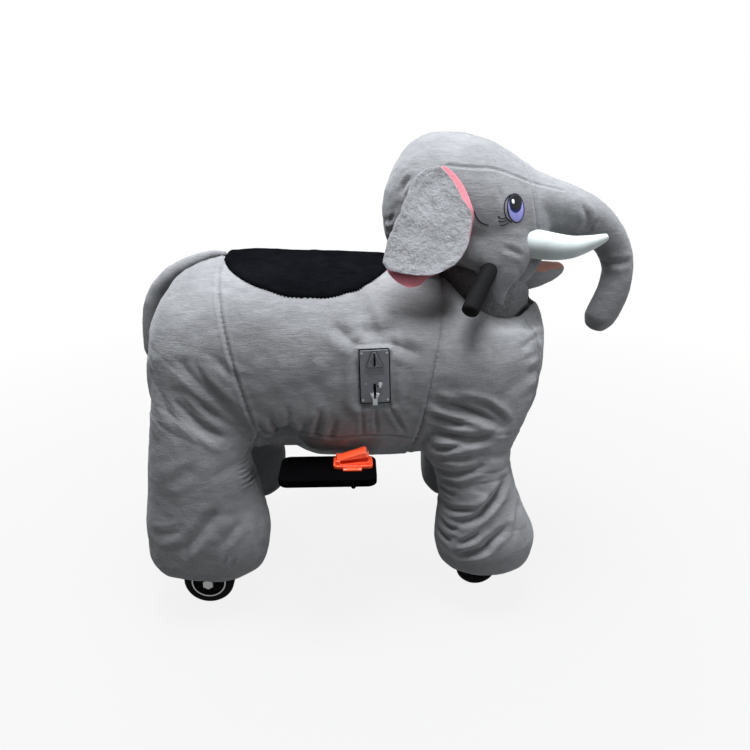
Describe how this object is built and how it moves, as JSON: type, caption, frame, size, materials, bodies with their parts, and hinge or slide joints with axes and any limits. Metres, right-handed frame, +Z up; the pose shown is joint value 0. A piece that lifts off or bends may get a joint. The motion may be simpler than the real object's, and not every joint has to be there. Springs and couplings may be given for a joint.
{
  "type": "coin-operated plush elephant ride",
  "caption": "Battery-driven ride-on plush elephant on four wheels, with a seat pad, turning head and handlebar, footboards, accelerator pedal and coin acceptor.",
  "frame": {"origin": "on the floor, below the middle of the ride's bounding box", "axes": "+X forward towards the trunk, the longest side; +Y to the rider's left; +Z up. The coin plate and the pedal are on the -Y side, the rider's right"},
  "size_m": [1.1423, 0.62, 1.0668],
  "materials": {
    "grey_plush": "short grey plush",
    "black_plush": "short black plush",
    "pale_plush": "pale smooth plush",
    "pink_plush": "pink lining plush",
    "eye_thread": "embroidered satin thread",
    "painted_steel": "black powder coat",
    "zinc_steel": "zinc plated",
    "black_rubber": "moulded",
    "black_plastic": "moulded, satin",
    "orange_plastic": "moulded, glossy",
    "plate_metal": "brushed faceplate",
    "plywood": "plain plywood",
    "grey_plastic": "moulded"
  },
  "bodies": {
    "root": {"rail_left": "painted_steel", "rail_right": "painted_steel", "rear_post_left": "painted_steel", "rear_post_right": "painted_steel", "kingpin_tube_left": "painted_steel", "kingpin_tube_right": "painted_steel", "axle_bearing_left": "zinc_steel", "axle_bearing_right": "zinc_steel", "axle_beam": "painted_steel", "steering_tube": "painted_steel", "front_bridge": "painted_steel", "battery_tray": "painted_steel", "battery": "black_plastic", "motor_controller": "zinc_steel", "timer_music_box": "grey_plastic", "seat_bulkhead_rear": "plywood", "seat_bulkhead_front": "plywood", "seat_board": "plywood", "motor_plate": "zinc_steel", "gear_case": "grey_plastic", "drive_motor": "black_plastic", "rear_cover": "grey_plush", "middle_cover": "grey_plush", "front_cover": "grey_plush", "rear_leg_left": "grey_plush", "rear_leg_right": "grey_plush", "front_leg_left": "grey_plush", "front_leg_right": "grey_plush", "tail": "grey_plush", "seat_pad": "black_plush", "footboard_bar": "painted_steel", "footboard_left": "black_plastic", "footboard_right": "black_plastic", "pedal_base": "orange_plastic", "coin_plate": "plate_metal", "coin_mechanism": "grey_plastic", "coin_box": "painted_steel"},
    "rear_axle_set": {"rear_axle": "zinc_steel", "rear_wheel_left": "black_rubber", "rear_wheel_right": "black_rubber", "drive_gear": "zinc_steel"},
    "motor_shaft": {"motor_pinion": "zinc_steel"},
    "steering": {"steering_column": "painted_steel", "grip_left": "black_rubber", "grip_right": "black_rubber", "head_cover": "grey_plush", "trunk": "grey_plush", "lower_jaw": "grey_plush", "tusk_left": "pale_plush", "tusk_right": "pale_plush", "ear_left": "grey_plush", "ear_right": "grey_plush", "neck_sleeve": "grey_plush"},
    "tie_rod_body": {"tie_rod": "zinc_steel"},
    "fork_left": {"front_fork_left": "painted_steel"},
    "fork_right": {"front_fork_right": "painted_steel"},
    "wheel_front_left": {"front_wheel_left": "black_rubber"},
    "wheel_front_right": {"front_wheel_right": "black_rubber"},
    "pedal": {"pedal_lever": "orange_plastic"},
    "coin_return": {"return_lever": "zinc_steel"}
  },
  "joints": [
    {"name": "rear_axle_spin", "type": "hinge", "parent": "root", "child": "rear_axle_set", "pos_m": [-0.43, 0, 0.059], "axis": [0, 1, 0], "continuous": true},
    {"name": "motor_spin", "type": "hinge", "parent": "root", "child": "motor_shaft", "pos_m": [-0.406, 0.042, 0.10057], "axis": [0, 1, 0], "continuous": true},
    {"name": "steering_turn", "type": "hinge", "parent": "root", "child": "steering", "pos_m": [0.222, 0, 0.65], "axis": [0, 0, 1], "range_deg": [-20, 20]},
    {"name": "tie_rod_turn", "type": "hinge", "parent": "steering", "child": "tie_rod_body", "pos_m": [0.18, 0, 0.12], "axis": [0, 0, 1], "range_deg": [-20, 20]},
    {"name": "fork_turn_left", "type": "hinge", "parent": "root", "child": "fork_left", "pos_m": [0.222, 0.1278, 0.135], "axis": [0, 0, 1], "range_deg": [-20, 20]},
    {"name": "front_wheel_spin_left", "type": "hinge", "parent": "fork_left", "child": "wheel_front_left", "pos_m": [0.222, 0.1278, 0.05], "axis": [0, 1, 0], "continuous": true},
    {"name": "fork_turn_right", "type": "hinge", "parent": "root", "child": "fork_right", "pos_m": [0.222, -0.1278, 0.135], "axis": [0, 0, 1], "range_deg": [-20, 20]},
    {"name": "front_wheel_spin_right", "type": "hinge", "parent": "fork_right", "child": "wheel_front_right", "pos_m": [0.222, -0.1278, 0.05], "axis": [0, 1, 0], "continuous": true},
    {"name": "pedal_press", "type": "hinge", "parent": "root", "child": "pedal", "pos_m": [-0.113, -0.244, 0.4168], "axis": [0, 1, 0], "range_deg": [0, 8], "stiffness_Nm_per_rad": 2, "springref_deg": -3.44},
    {"name": "coin_return_press", "type": "hinge", "parent": "root", "child": "coin_return", "pos_m": [-0.044, -0.2412, 0.594], "axis": [0, 1, 0], "range_deg": [0, 20], "stiffness_Nm_per_rad": 0.05, "springref_deg": -8.59}
  ],
  "couplings": [
    {"joint": "motor_spin", "follows": "rear_axle_spin", "ratio": -3},
    {"joint": "tie_rod_turn", "follows": "steering_turn", "ratio": -1},
    {"joint": "fork_turn_left", "follows": "steering_turn", "ratio": 1},
    {"joint": "fork_turn_right", "follows": "steering_turn", "ratio": 1}
  ]
}
